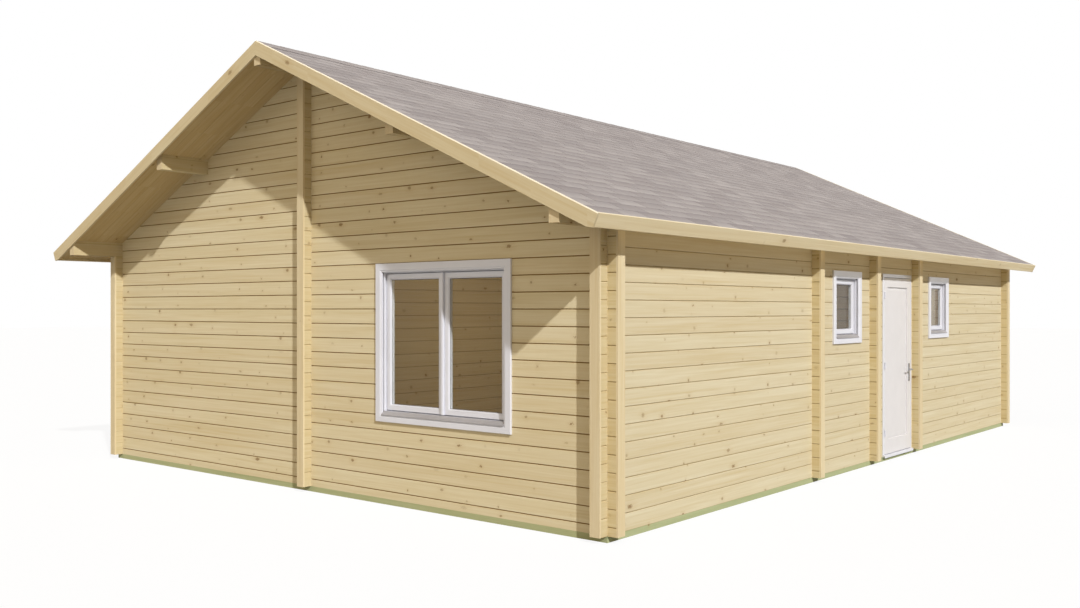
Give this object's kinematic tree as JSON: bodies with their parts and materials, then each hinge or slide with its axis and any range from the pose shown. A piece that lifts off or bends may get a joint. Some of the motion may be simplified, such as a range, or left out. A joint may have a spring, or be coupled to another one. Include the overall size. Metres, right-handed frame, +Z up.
{
  "type": "log cabin",
  "caption": "Log cabin with interlocking log walls, centre and cross partitions, shingled saddle roof, white windows and a hinged side door.",
  "frame": {"origin": "middle of the outline on the ground, under the bearers", "axes": "+X to the right seen from the front gable, +Y from the front gable to the back, +Z up"},
  "size_m": [7.68, 10.997, 4.16],
  "materials": {
    "log": "planed untreated spruce logs",
    "board": "planed untreated spruce boards",
    "treated": "pressure treated softwood, green",
    "core": "rigid roof insulation",
    "shingle": "mineral faced bitumen shingles",
    "white": "white painted frames",
    "door": "white painted door leaf",
    "sill": "grey coated sheet",
    "glass": "clear double glazing",
    "metal": "satin steel"
  },
  "bodies": {
    "house": {"front_wall_lower": "log", "front_wall_beside_window": "log", "front_gable": "log", "back_wall_lower": "log", "back_wall_beside_window": "log", "back_gable": "log", "right_wall_lower": "log", "right_wall_beside_windows": "log", "right_wall_upper": "log", "left_wall_lower": "log", "left_wall_beside_windows": "log", "left_wall_upper": "log", "right_eave_log": "log", "left_eave_log": "log", "middle_purlins": "log", "ridge_purlin": "log", "centre_partition_lower": "log", "centre_partition_upper": "log", "cross_partitions_lower": "log", "cross_partitions_upper": "log", "long_bearers": "treated", "cross_bearers": "treated", "floor_joists": "treated", "floor_boards": "board", "roof_boards": "board", "roof_core": "core", "shingles": "shingle", "barge_boards": "board", "eave_boards": "board", "front_end_boards": "board", "back_end_boards": "board", "right_end_boards": "board", "left_end_boards": "board", "window_casings": "white", "window_frames": "white", "window_sashes": "white", "window_panes": "glass", "window_sills": "sill", "door_frame": "white", "door_stops": "white", "door_threshold": "metal", "door_frame_hinges": "metal"},
    "door": {"door_leaf": "door", "door_leaf_hinges": "metal", "door_handle_plates": "metal"},
    "lever": {"door_lever": "metal"}
  },
  "joints": [
    {"name": "door_hinge", "type": "hinge", "parent": "house", "child": "door", "pos_m": [3.5095, 0.455, 0.25], "axis": [0, 0, -1], "range_deg": [0, 100]},
    {"name": "lever_turn", "type": "hinge", "parent": "door", "child": "lever", "pos_m": [3.5, 1.2125, 1.01], "axis": [1, 0, 0], "range_deg": [0, 40], "stiffness_Nm_per_rad": 1.2, "springref_deg": -28.65}
  ]
}
